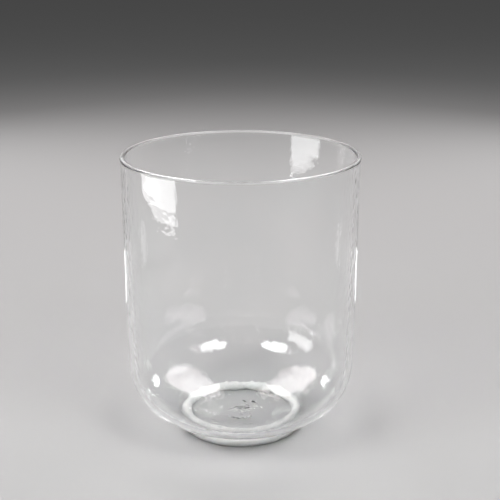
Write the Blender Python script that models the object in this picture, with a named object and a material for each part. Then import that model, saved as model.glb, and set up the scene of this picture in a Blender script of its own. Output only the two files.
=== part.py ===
"""Clear round glass vessel with a dished bottom, standing on a soft white O-ring.

Metres, +Z up, table at z = 0, both pieces round the Z axis. The vessel only rests on the ring and lifts
straight off it.
"""

import math

import bmesh
import bpy

# Vessel: a drawn tube closed at the bottom by a shallow dish, with a fire-polished rim.
VESSEL_RADIUS = 0.090  # outside, at the rim
VESSEL_HEIGHT = 0.220  # lowest point of the dish to the top of the rim
WALL_DRAW_IN = 0.0006  # outside radius lost between the rim and the bottom corner
RIM_WALL = 0.0035  # wall thickness at the rim
LOWER_WALL = 0.0045  # wall thickness at the bottom corner and over the dish
KNUCKLE_RADIUS = 0.044  # outside, at the bottom corner
NAVEL_RADIUS = 0.0055  # closing mark left inside, in the middle of the dish
NAVEL_HEIGHT = 0.0009

# Support ring: round cord, pressed a little flat where it lies on the table.
RING_RADIUS = 0.0466  # to the middle of the cord
RING_CORD = 0.008  # cord diameter
RING_FLAT = 0.003  # width of the flat underneath

BASE_CLEARANCE = 0.001  # lowest point of the dish above the table
SEAT_GAP = 0.0004  # between the dish and the ring it stands on

AROUND = 80  # facets round the axis
CORD_FACETS = 20

cord_r = RING_CORD / 2
cord_z = math.sqrt(cord_r**2 - (RING_FLAT / 2) ** 2)
foot_r = VESSEL_RADIUS - WALL_DRAW_IN
rim_z = BASE_CLEARANCE + VESSEL_HEIGHT


def clear_scene():
    for obj in list(bpy.data.objects):
        bpy.data.objects.remove(obj, do_unlink=True)


def surface(name, colour, roughness, transmission, ior):
    mat = bpy.data.materials.new(name)
    mat.use_nodes = True
    bsdf = mat.node_tree.nodes["Principled BSDF"]
    bsdf.inputs["Base Color"].default_value = (*colour, 1.0)
    bsdf.inputs["Roughness"].default_value = roughness
    bsdf.inputs["Metallic"].default_value = 0.0
    bsdf.inputs["Transmission Weight"].default_value = transmission
    bsdf.inputs["IOR"].default_value = ior
    mat.diffuse_color = (*colour, 1.0)
    return mat


def turned(name, profile, closed, mat, sharp_deg):
    """Turns a profile of (radius, height) points round the Z axis into one closed solid."""
    bm = bmesh.new()
    verts = [bm.verts.new((r, 0.0, z)) for r, z in profile]
    pairs = list(zip(verts, verts[1:]))
    if closed:
        pairs.append((verts[-1], verts[0]))
    edges = [bm.edges.new(pair) for pair in pairs]
    bmesh.ops.spin(
        bm,
        geom=verts + edges,
        cent=(0.0, 0.0, 0.0),
        axis=(0.0, 0.0, 1.0),
        angle=2 * math.pi,
        steps=AROUND,
        use_merge=True,
    )
    bmesh.ops.remove_doubles(bm, verts=bm.verts, dist=0.00002)
    bmesh.ops.recalc_face_normals(bm, faces=bm.faces)
    mesh = bpy.data.meshes.new(name)
    bm.to_mesh(mesh)
    bm.free()
    for face in mesh.polygons:
        face.use_smooth = True
    mesh.set_sharp_from_angle(angle=math.radians(sharp_deg))
    mesh.materials.append(mat)
    obj = bpy.data.objects.new(name, mesh)
    bpy.context.scene.collection.objects.link(obj)
    return obj


def arc(centre_r, centre_z, radius, start, end, steps):
    """Points round a centre; angles are in radians from straight down, growing outwards."""
    points = []
    for i in range(steps + 1):
        a = start + (end - start) * i / steps
        points.append((centre_r + radius * math.sin(a), centre_z - radius * math.cos(a)))
    return points


def dish():
    """The dish's outside radius, and the angle at which it runs into the bottom corner.

    The radius is the one that stands the vessel on the ring with its lowest point just clear of the table.
    The ring meets the dish, or the corner itself where the corner starts inside the ring.
    """
    reach = cord_r + SEAT_GAP
    corner_r = foot_r - KNUCKLE_RADIUS
    drop = BASE_CLEARANCE - cord_z
    radius = (RING_RADIUS**2 + drop**2 - reach**2) / (2 * (reach - drop))
    turn = math.asin(corner_r / (radius - KNUCKLE_RADIUS))
    if RING_RADIUS > (radius + reach) * math.sin(turn):
        corner_z = cord_z + math.sqrt((KNUCKLE_RADIUS + reach) ** 2 - (RING_RADIUS - corner_r) ** 2)
        rise = corner_z - BASE_CLEARANCE - KNUCKLE_RADIUS
        radius = KNUCKLE_RADIUS + (corner_r**2 + rise**2) / (2 * rise)
        turn = math.asin(corner_r / (radius - KNUCKLE_RADIUS))
    return radius, turn


def bottom_arcs(wall, steps):
    """Dish and bottom corner, from the axis to the start of the wall, this far inside the outside skin."""
    radius, turn = dish()
    centre_z = BASE_CLEARANCE + radius
    corner_z = centre_z - (radius - KNUCKLE_RADIUS) * math.cos(turn)
    points = arc(0.0, centre_z, radius - wall, 0.0, turn, steps)
    points += arc(foot_r - KNUCKLE_RADIUS, corner_z, KNUCKLE_RADIUS - wall, turn, math.pi / 2, steps)[1:]
    return points


def navel(points):
    """Replaces the first points of the inside by the small rounded closing mark, raised on the dish."""
    middle = points[0][1]
    radius = dish()[0] - LOWER_WALL
    mark = []
    for t in (0.0, 0.3, 0.6, 0.85, 1.0):
        r = NAVEL_RADIUS * t
        rise = radius - math.sqrt(radius**2 - r**2)
        mark.append((r, middle + rise + NAVEL_HEIGHT * (1 - t**2) ** 2))
    return mark + [(r, z) for r, z in points if r > NAVEL_RADIUS * 1.2]


def lip(steps):
    """Fire-polished rim: a half round from the outside of the wall over to the inside."""
    half = RIM_WALL / 2
    middle = VESSEL_RADIUS - half
    return arc(middle, rim_z - half, half, math.pi / 2, 1.5 * math.pi, steps)


def glass_vessel():
    outside = bottom_arcs(0.0, 8)
    inside = navel(bottom_arcs(LOWER_WALL, 8))
    profile = outside + lip(8) + inside[::-1]
    glass = surface("clear_glass", (0.95, 0.97, 0.97), 0.03, 1.0, 1.46)
    return turned("glass_vessel", profile, False, glass, 40)


def support_ring():
    start = math.asin(RING_FLAT / RING_CORD)
    profile = arc(RING_RADIUS, cord_z, cord_r, start, 2 * math.pi - start, CORD_FACETS)
    rubber = surface("white_silicone", (0.78, 0.78, 0.76), 0.45, 0.0, 1.41)
    return turned("support_ring", profile, True, rubber, 30)


clear_scene()
support_ring()
glass_vessel()
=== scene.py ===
import math

import bmesh
import bpy
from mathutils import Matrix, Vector, noise


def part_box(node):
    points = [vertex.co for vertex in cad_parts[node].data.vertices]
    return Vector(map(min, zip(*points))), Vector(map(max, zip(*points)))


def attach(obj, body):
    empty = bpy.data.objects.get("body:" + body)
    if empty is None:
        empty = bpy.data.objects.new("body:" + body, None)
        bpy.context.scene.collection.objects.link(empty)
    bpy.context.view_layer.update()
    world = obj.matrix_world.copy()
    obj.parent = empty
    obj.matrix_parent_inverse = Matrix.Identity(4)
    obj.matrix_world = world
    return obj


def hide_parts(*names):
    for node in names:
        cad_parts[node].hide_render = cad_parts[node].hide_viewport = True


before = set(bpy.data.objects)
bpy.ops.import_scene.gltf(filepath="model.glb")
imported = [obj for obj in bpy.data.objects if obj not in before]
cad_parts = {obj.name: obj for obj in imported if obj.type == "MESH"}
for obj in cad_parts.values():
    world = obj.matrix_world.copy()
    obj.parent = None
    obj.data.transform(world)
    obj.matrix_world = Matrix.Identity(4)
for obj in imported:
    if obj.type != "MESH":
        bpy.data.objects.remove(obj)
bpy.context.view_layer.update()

# ---------------------------------------------------------------------------
# The vessel. One piece of clear glass: a tube closed at the bottom on a glass lathe, which leaves a big round
# corner, a shallow dish and a swirl of tool marks in its middle, then flame-polished at the rim.

low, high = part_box("glass_vessel")
skin_inset = 0.00005
rim_r = high.x - skin_inset
rim_z = high.z - skin_inset
dish_z = low.z + skin_inset
rim_wall = 0.0035
low_wall = 0.0045
draw_in = 0.0006
foot_r = rim_r - draw_in
corner_r = 0.044
dish_r = 0.1518
vessel_steps = 216
dish_turn = math.asin((foot_r - corner_r) / (dish_r - corner_r))
corner_z = dish_z + dish_r - (dish_r - corner_r) * math.cos(dish_turn)

# The steps inside the dish are finest out to fine_r, for the closing marks, and coarsest beyond middle_r.
fine_r = 0.020
middle_r = 0.038
tool_reach_r = 0.040
paddle_top_z = corner_z + 0.015
paddle_full_z = corner_z - 0.010
uneven_start_r = 0.045
uneven_full_r = 0.080
rim_calm_z = rim_z - 0.002
rim_fade_z = rim_z - 0.022

# Each bulge or neck of the wall: its height, half its width, how far it stands out, and the angle of its
# stronger side.
wall_bulges = [(0.165, 0.016, 0.00011, 3.1), (0.136, 0.012, -0.00012, 0.4), (0.106, 0.015, 0.00026, 2.8),
               (0.080, 0.010, -0.00008, 1.2), (0.052, 0.010, -0.00022, 0.0), (0.036, 0.010, 0.00020, 3.0)]
one_sided = 0.35
wave_height = 0.00005
line_height = 0.000014
lap_height = 0.000010
lap_rate = 610.0
dimple_height = 0.000060
scrape_height = 0.000012

mound_r = 0.0105
mound_height = 0.0005
swirl_r = 0.0118
swirl_fade_r = 0.0095
swirl_pitch = 0.0036
swirl_height = 0.00070
swirl_width = 0.00048
swirl_bend = 0.0022
# Each broken ring round the swirl: its radius, half its width, its height, and which gaps it has.
marks_round = [(0.0175, 0.00065, 0.00055, 1.0), (0.0340, 0.00080, 0.00014, 2.0)]
marks_bend = 0.0006


def sweep(bm, vert, centre_x, centre_z, angle, steps):
    """Draws an arc from vert round a centre, turning from straight down towards +X."""
    out = bmesh.ops.spin(bm, geom=[vert], cent=(centre_x, 0.0, centre_z), axis=(0.0, -1.0, 0.0),
                         angle=angle, steps=steps)
    return [g for g in out["geom_last"] if isinstance(g, bmesh.types.BMVert)][0]


def draw(bm, vert, x, z, steps):
    """Draws a straight line from vert to (x, z) in even lengths."""
    step = (Vector((x, 0.0, z)) - vert.co) / steps
    out = bmesh.ops.spin(bm, geom=[vert], cent=(0.0, 0.0, 0.0), axis=(0.0, 1.0, 0.0), dvec=step,
                         angle=0.0, steps=steps)
    return [g for g in out["geom_last"] if isinstance(g, bmesh.types.BMVert)][0]


def turn_round(bm, steps):
    """Spins the profile in bm round the Z axis into a closed skin with its faces outwards."""
    bmesh.ops.spin(bm, geom=bm.verts[:] + bm.edges[:], cent=(0.0, 0.0, 0.0), axis=(0.0, 0.0, 1.0),
                   angle=2 * math.pi, steps=steps, use_merge=True)
    bmesh.ops.remove_doubles(bm, verts=bm.verts, dist=0.000005)
    bmesh.ops.recalc_face_normals(bm, faces=bm.faces)


def finished(bm, name):
    """Makes bm a smooth-shaded object at the origin."""
    mesh = bpy.data.meshes.new(name)
    bm.to_mesh(mesh)
    bm.free()
    mesh.shade_smooth()
    piece = bpy.data.objects.new(name, mesh)
    bpy.context.scene.collection.objects.link(piece)
    return piece


def ease(value, start, end):
    """0 at start, 1 at end and smooth between, for either order of the two."""
    t = min(1.0, max(0.0, (value - start) / (end - start)))
    return t * t * (3 - 2 * t)


def noise_round(angle, waves, along):
    """Noise that meets itself again after a full turn; more waves make it finer."""
    return noise.noise(Vector((waves * math.cos(angle), waves * math.sin(angle), along)))


def hand_drawn(angle, z, inner):
    """How far the wall stands out from its true radius: bulges and necks, waves, and faint draw lines."""
    shift = 0.0
    for height, width, amount, side in wall_bulges:
        shift += amount * (1 + one_sided * math.cos(angle - side)) * math.exp(-((z - height) / width) ** 2)
    shift += wave_height * noise_round(angle, 2.6, 16.0 * z + (7.0 if inner else 0.0))
    shift += line_height * noise_round(angle, 9.0, 9.0 * z + (3.0 if inner else 0.0))
    shift += lap_height * math.sin(z * lap_rate + (1.3 if inner else 0.0) + 0.6 * math.sin(angle))
    return shift * ease(z, rim_calm_z, rim_fade_z)


def bottom_ripple(x, y, z):
    """Unevenness which the paddle left inside the corner and the dish: shallow dimples and turning lines."""
    dimples = noise.noise(Vector((75.0 * x, 75.0 * y, 75.0 * z)))
    scrapes = noise.noise(Vector((0.0, 5.0, 420.0 * math.hypot(x, y) + 220.0 * z)))
    return dimple_height * dimples + scrape_height * scrapes


def tool_marks(x, y):
    """Height of the marks which the closing tool left inside: a mound, a swirl and two broken rings."""
    r, angle = math.hypot(x, y), math.atan2(y, x)
    mound = mound_height * ease(r, mound_r, 0.0)
    bent = r + swirl_bend * noise.noise(Vector((130.0 * x, 130.0 * y, 4.0)))
    turn = (bent - swirl_pitch * angle / (2 * math.pi)) / swirl_pitch
    off = (turn - round(turn)) * swirl_pitch
    broken = ease(noise.noise(Vector((90.0 * x, 90.0 * y, 11.0))), -0.35, 0.05)
    there = broken * ease(r, swirl_r, swirl_fade_r)
    swirl = swirl_height * math.exp(-(off / swirl_width) ** 2) * there
    rings = 0.0
    for mark_r, width, amount, gaps in marks_round:
        off = r - mark_r - marks_bend * noise_round(angle, 1.5, gaps)
        there = ease(noise_round(angle, 1.9, 5.0 + gaps), -0.1, 0.2)
        rings += amount * math.exp(-(off / width) ** 2) * there
    return mound + swirl + rings


bm = bmesh.new()
tip = bm.verts.new((0.0, 0.0, dish_z))
tip = sweep(bm, tip, 0.0, dish_z + dish_r, dish_turn, 44)
tip = sweep(bm, tip, foot_r - corner_r, corner_z, math.pi / 2 - dish_turn, 34)
tip = draw(bm, tip, rim_r, rim_z - rim_wall / 2, 84)
tip = sweep(bm, tip, rim_r - rim_wall / 2, rim_z - rim_wall / 2, math.pi, 14)
tip = draw(bm, tip, foot_r - low_wall, corner_z, 84)
tip = sweep(bm, tip, foot_r - corner_r, corner_z, dish_turn - math.pi / 2, 34)
fine_turn = math.asin(fine_r / (dish_r - low_wall))
middle_turn = math.asin(middle_r / (dish_r - low_wall))
tip = sweep(bm, tip, 0.0, dish_z + dish_r, middle_turn - dish_turn, 16)
tip = sweep(bm, tip, 0.0, dish_z + dish_r, fine_turn - middle_turn, 40)
tip = sweep(bm, tip, 0.0, dish_z + dish_r, -fine_turn, 64)
turn_round(bm, vessel_steps)
bm.normal_update()
for vert in bm.verts:
    x, y, z = vert.co
    r = math.hypot(x, y)
    if z > corner_z:
        inner = r < foot_r - low_wall / 2
    elif math.hypot(r, z - dish_z - dish_r) * math.sin(dish_turn) > r:
        inner = math.hypot(r, z - dish_z - dish_r) < dish_r - low_wall / 2
    else:
        inner = math.hypot(r - foot_r + corner_r, z - corner_z) < corner_r - low_wall / 2
    if inner and z < paddle_top_z:
        vert.co += vert.normal * bottom_ripple(x, y, z) * ease(z, paddle_top_z, paddle_full_z)
    if inner and r < tool_reach_r and z < corner_z:
        vert.co.z += tool_marks(x, y)
    if r > uneven_start_r:
        shift = hand_drawn(math.atan2(y, x), z, inner) * ease(r, uneven_start_r, uneven_full_r)
        vert.co.x *= 1 + shift / r
        vert.co.y *= 1 + shift / r
vessel = finished(bm, "vessel_glass")


def new_material(name):
    mat = bpy.data.materials.new(name)
    mat.use_nodes = True
    return mat, mat.node_tree, mat.node_tree.nodes["Principled BSDF"]


def node(tree, kind, inputs=(), **settings):
    """Adds a node, sets what it is told, and links or sets its inputs from (socket, value) pairs."""
    made = tree.nodes.new(kind)
    for key, value in settings.items():
        setattr(made, key, value)
    for socket, value in inputs:
        if isinstance(value, bpy.types.NodeSocket):
            tree.links.new(value, made.inputs[socket])
        else:
            made.inputs[socket].default_value = value
    return made


def between(tree, value, start, end, low, high):
    """Maps a value from start..end to low..high, held at both ends."""
    return node(tree, "ShaderNodeMapRange", [("Value", value), ("From Min", start), ("From Max", end),
                                             ("To Min", low), ("To Max", high)]).outputs["Result"]


def maths(tree, operation, first, second):
    return node(tree, "ShaderNodeMath", [(0, first), (1, second)], operation=operation).outputs[0]


def mixed(tree, factor, first, second):
    """Mixes two colours; 6, 7 and 2 are the Mix node's colour sockets."""
    return node(tree, "ShaderNodeMix", [("Factor", factor), (6, first), (7, second)],
                data_type="RGBA").outputs[2]


def clouds(tree, place, scale, detail):
    """Soft noise at a place, from 0 to 1."""
    return node(tree, "ShaderNodeTexNoise",
                [("Vector", place), ("Scale", scale), ("Detail", detail)]).outputs["Fac"]


def specks_group():
    """Fine dust and seeds: small round spots, thinned out so that they lie in loose drifts."""
    group = bpy.data.node_groups.new("dust_specks", "ShaderNodeTree")
    interface = group.interface
    interface.new_socket("Place", in_out="INPUT", socket_type="NodeSocketVector")
    for name, value in (("Scale", 200.0), ("Size", 0.1), ("Amount", 0.5)):
        interface.new_socket(name, in_out="INPUT", socket_type="NodeSocketFloat").default_value = value
    interface.new_socket("Mask", in_out="OUTPUT", socket_type="NodeSocketFloat")
    given = group.nodes.new("NodeGroupInput").outputs
    spots = node(group, "ShaderNodeTexVoronoi", [("Vector", given["Place"]), ("Scale", given["Scale"])])
    drift = node(group, "ShaderNodeTexNoise", [("Vector", given["Place"]), ("Scale", 60.0), ("Detail", 2.0)])
    size = maths(group, "MULTIPLY", given["Size"], drift.outputs["Fac"])
    inside = maths(group, "LESS_THAN", spots.outputs["Distance"], size)
    kept = node(group, "ShaderNodeSeparateColor", [("Color", spots.outputs["Color"])])
    chosen = maths(group, "LESS_THAN", kept.outputs["Red"], given["Amount"])
    out = group.nodes.new("NodeGroupOutput")
    group.links.new(maths(group, "MULTIPLY", inside, chosen), out.inputs["Mask"])
    return group


dust_specks = specks_group()

glass, tree, shader = new_material("drawn_clear_glass")
place = node(tree, "ShaderNodeTexCoord").outputs["Object"]
tall = node(tree, "ShaderNodeMapping", [("Vector", place), ("Scale", (1.0, 1.0, 0.10))]).outputs["Vector"]
ripple = clouds(tree, place, 260.0, 0.5)
draw_line = clouds(tree, tall, 160.0, 2.0)
patches = clouds(tree, place, 22.0, 3.0)
specks = node(tree, "ShaderNodeGroup", [("Place", place), ("Scale", 210.0), ("Size", 0.11), ("Amount", 0.12)],
              node_tree=dust_specks)
haze = between(tree, patches, 0.5, 0.8, 0.0, 0.018)
rough = maths(tree, "ADD", haze, maths(tree, "MULTIPLY", specks.outputs["Mask"], 0.22))
height = node(tree, "ShaderNodeSeparateXYZ", [("Vector", place)]).outputs["Z"]
satin = between(tree, height, rim_z - 0.0022, rim_z - 0.0012, 0.0, 0.34)
tree.links.new(maths(tree, "ADD", rough, satin), shader.inputs["Roughness"])
tint = mixed(tree, between(tree, patches, 0.3, 0.7, 0.0, 1.0),
             (1.0, 1.0, 1.0, 1.0), (0.975, 0.985, 0.985, 1.0))
tree.links.new(tint, shader.inputs["Base Color"])
skin = maths(tree, "ADD", ripple, maths(tree, "MULTIPLY", draw_line, 0.9))
skin = maths(tree, "ADD", skin, maths(tree, "MULTIPLY", specks.outputs["Mask"], 0.6))
bump = node(tree, "ShaderNodeBump", [("Height", skin), ("Distance", 0.00006), ("Strength", 1.0)])
tree.links.new(bump.outputs["Normal"], shader.inputs["Normal"])
shader.inputs["IOR"].default_value = 1.46
shader.inputs["Transmission Weight"].default_value = 1.0
vessel.data.materials.append(glass)
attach(vessel, "vessel")
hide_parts("glass_vessel")

# ---------------------------------------------------------------------------
# The support ring. A moulded ring of white silicone, round in section with a fine parting line inside and
# outside, which lies loose on the table and carries the dish; the weight presses it a little flat underneath.

ring_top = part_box("support_ring")[1].z
cord_r = 0.0039
ridge = 0.0001
ring_r = 0.0466
ring_steps = 256
cord_z = ring_top - cord_r
flat = math.acos(cord_z / cord_r)
half_ridge = 0.045
bm = bmesh.new()
tip = bm.verts.new((ring_r + cord_r * math.sin(flat), 0.0, 0.0))
tip = sweep(bm, tip, ring_r, cord_z, math.pi / 2 - flat - half_ridge, 14)
tip = draw(bm, tip, ring_r + cord_r + ridge, cord_z, 1)
tip = draw(bm, tip, ring_r + cord_r * math.cos(half_ridge), cord_z + cord_r * math.sin(half_ridge), 1)
tip = sweep(bm, tip, ring_r, cord_z, math.pi - 2 * half_ridge, 30)
tip = draw(bm, tip, ring_r - cord_r - ridge, cord_z, 1)
tip = draw(bm, tip, ring_r - cord_r * math.cos(half_ridge), cord_z - cord_r * math.sin(half_ridge), 1)
tip = sweep(bm, tip, ring_r, cord_z, math.pi / 2 - flat - half_ridge, 14)
first = min((v for v in bm.verts if v is not tip), key=lambda v: (round(v.co.z, 7), -v.co.x))
bm.edges.new((tip, first))
turn_round(bm, ring_steps)
ring = finished(bm, "ring_silicone")

silicone, tree, shader = new_material("white_silicone")
place = node(tree, "ShaderNodeTexCoord").outputs["Object"]
mottle = clouds(tree, place, 140.0, 4.0)
grain = clouds(tree, place, 1800.0, 2.0)
dust = node(tree, "ShaderNodeGroup", [("Place", place), ("Scale", 900.0), ("Size", 0.45), ("Amount", 0.12)],
            node_tree=dust_specks)
body = mixed(tree, between(tree, mottle, 0.35, 0.7, 0.0, 1.0),
             (0.80, 0.80, 0.79, 1.0), (0.74, 0.74, 0.725, 1.0))
dusty = mixed(tree, maths(tree, "MULTIPLY", dust.outputs["Mask"], 0.5), body, (0.52, 0.51, 0.50, 1.0))
tree.links.new(dusty, shader.inputs["Base Color"])
tree.links.new(between(tree, mottle, 0.3, 0.7, 0.36, 0.52), shader.inputs["Roughness"])
height = maths(tree, "ADD", grain, maths(tree, "MULTIPLY", mottle, 2.0))
bump = node(tree, "ShaderNodeBump", [("Height", height), ("Distance", 0.00002), ("Strength", 0.8)])
tree.links.new(bump.outputs["Normal"], shader.inputs["Normal"])
shader.inputs["IOR"].default_value = 1.41
shader.inputs["Subsurface Weight"].default_value = 0.25
shader.inputs["Subsurface Radius"].default_value = (0.9, 0.85, 0.8)
shader.inputs["Subsurface Scale"].default_value = 0.0015
ring.data.materials.append(silicone)
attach(ring, "ring")
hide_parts("support_ring")

# ---------------------------------------------------------------------------
# The stage, which is no part of the object: a plain pale floor, a dim grey sky, six soft boxes, three glowing
# cards that show only where the glass mirrors them, and the camera.

bm = bmesh.new()
bmesh.ops.create_circle(bm, cap_ends=True, segments=128, radius=9.0)
floor = finished(bm, "floor")
paint, _, shader = new_material("pale_floor")
shader.inputs["Base Color"].default_value = (0.42, 0.42, 0.42, 1.0)
shader.inputs["Roughness"].default_value = 0.9
shader.inputs["Specular IOR Level"].default_value = 0.0
floor.data.materials.append(paint)

world = bpy.data.worlds.new("studio")
bpy.context.scene.world = world
world.use_nodes = True
sky = world.node_tree
path = node(sky, "ShaderNodeLightPath")
seen = maths(sky, "MAXIMUM", path.outputs["Is Camera Ray"], path.outputs["Is Transmission Ray"])
seen = maths(sky, "MAXIMUM", seen, path.outputs["Is Glossy Ray"])
lighting_grey = (0.14, 0.14, 0.14, 1.0)
seen_grey = (0.075, 0.075, 0.075, 1.0)
sky.links.new(mixed(sky, seen, lighting_grey, seen_grey), sky.nodes["Background"].inputs["Color"])

lamp_aim = Vector((0.0, 0.0, 0.1))
lamp_centre_z = 0.05
lamp_distance = 1.4


def softbox(name, place, width, height, brightness, tint=(1.0, 1.0, 1.0)):
    """An oval soft lamp turned to the vessel; brightness is that of its face, whatever its size."""
    light = bpy.data.lights.new(name, "AREA")
    light.shape = "ELLIPSE"
    light.size = width
    light.size_y = height
    light.color = tint
    light.energy = brightness * math.pi * width * height * math.pi / 4
    lamp = bpy.data.objects.new(name, light)
    lamp.location = place
    lamp.rotation_euler = (lamp_aim - Vector(place)).to_track_quat("-Z", "Y").to_euler()
    lamp.visible_camera = False
    bpy.context.scene.collection.objects.link(lamp)


def around(azimuth, elevation):
    """A lamp's place round the vessel, azimuth counted from the front, towards the right."""
    a, e = math.radians(azimuth), math.radians(elevation)
    return (lamp_distance * math.cos(e) * math.sin(a), -lamp_distance * math.cos(e) * math.cos(a),
            lamp_centre_z + lamp_distance * math.sin(e))


softbox("front_left", around(-52, 46), 0.66, 0.58, 13.0)
softbox("front_right", around(42, 47), 0.66, 0.58, 13.0)
faint_pink = (1.0, 0.93, 0.93)
softbox("rear_left", around(-146, 45), 0.95, 0.62, 3.6, tint=faint_pink)
softbox("rear_right", around(146, 45), 0.95, 0.62, 3.6, tint=faint_pink)
softbox("low_left", around(-147, 21), 0.34, 0.18, 14.0)
softbox("low_right", around(144, 19), 0.34, 0.18, 14.0)


def white_card(name, start, end, low_start, low_end, top, brightness):
    """A glowing card upright between two places on the floor, which shows only in reflections."""
    bm = bmesh.new()
    bmesh.ops.create_grid(bm, x_segments=1, y_segments=1, size=0.5)
    for corner in bm.verts:
        along, up = corner.co.x + 0.5, corner.co.y + 0.5
        foot_z = low_start + (low_end - low_start) * along
        ground = Vector(start).lerp(Vector(end), along)
        corner.co = (ground.x, ground.y, foot_z + (top - foot_z) * up)
    card = finished(bm, name)
    glow, tree, shader = new_material(name + "_glow")
    shader.inputs["Base Color"].default_value = (0.0, 0.0, 0.0, 1.0)
    shader.inputs["Specular IOR Level"].default_value = 0.0
    shader.inputs["Emission Color"].default_value = (1.0, 1.0, 1.0, 1.0)
    shader.inputs["Emission Strength"].default_value = brightness
    path = node(tree, "ShaderNodeLightPath")
    tree.links.new(maths(tree, "GREATER_THAN", path.outputs["Glossy Depth"], 0.5), shader.inputs["Alpha"])
    card.data.materials.append(glow)


white_card("left_panel", (-0.5, -0.305), (-0.5, 0.055), 0.026, 0.086, 0.30, 6.0)
white_card("edge_card_left", (-0.20, 0.24), (-0.13, 0.25), 0.002, 0.002, 0.06, 1.6)
white_card("edge_card_right", (0.20, 0.24), (0.13, 0.25), 0.002, 0.002, 0.06, 1.6)

camera = bpy.data.objects.new("camera", bpy.data.cameras.new("camera"))
bpy.context.scene.collection.objects.link(camera)
camera.data.sensor_width = 36.0
camera.data.lens = 68.4
camera.location = (0.0, -0.6984, 0.3752)
pitch = math.radians(18.287)
yaw = math.radians(0.577)
look = Vector((math.sin(yaw) * math.cos(pitch), math.cos(yaw) * math.cos(pitch), -math.sin(pitch)))
camera.rotation_euler = look.to_track_quat("-Z", "Y").to_euler()
bpy.context.scene.camera = camera
bpy.context.scene.view_settings.view_transform = "Standard"

# Light runs on inside the wall for many bounces before it comes out bright at the rim, and the ring is lit
# through the dish, so neither is cut short.
rays = bpy.context.scene.cycles
glass_bounces = 96
rays.max_bounces = glass_bounces
rays.transmission_bounces = glass_bounces
rays.glossy_bounces = glass_bounces
rays.blur_glossy = 0.0
rays.sample_clamp_indirect = 30.0
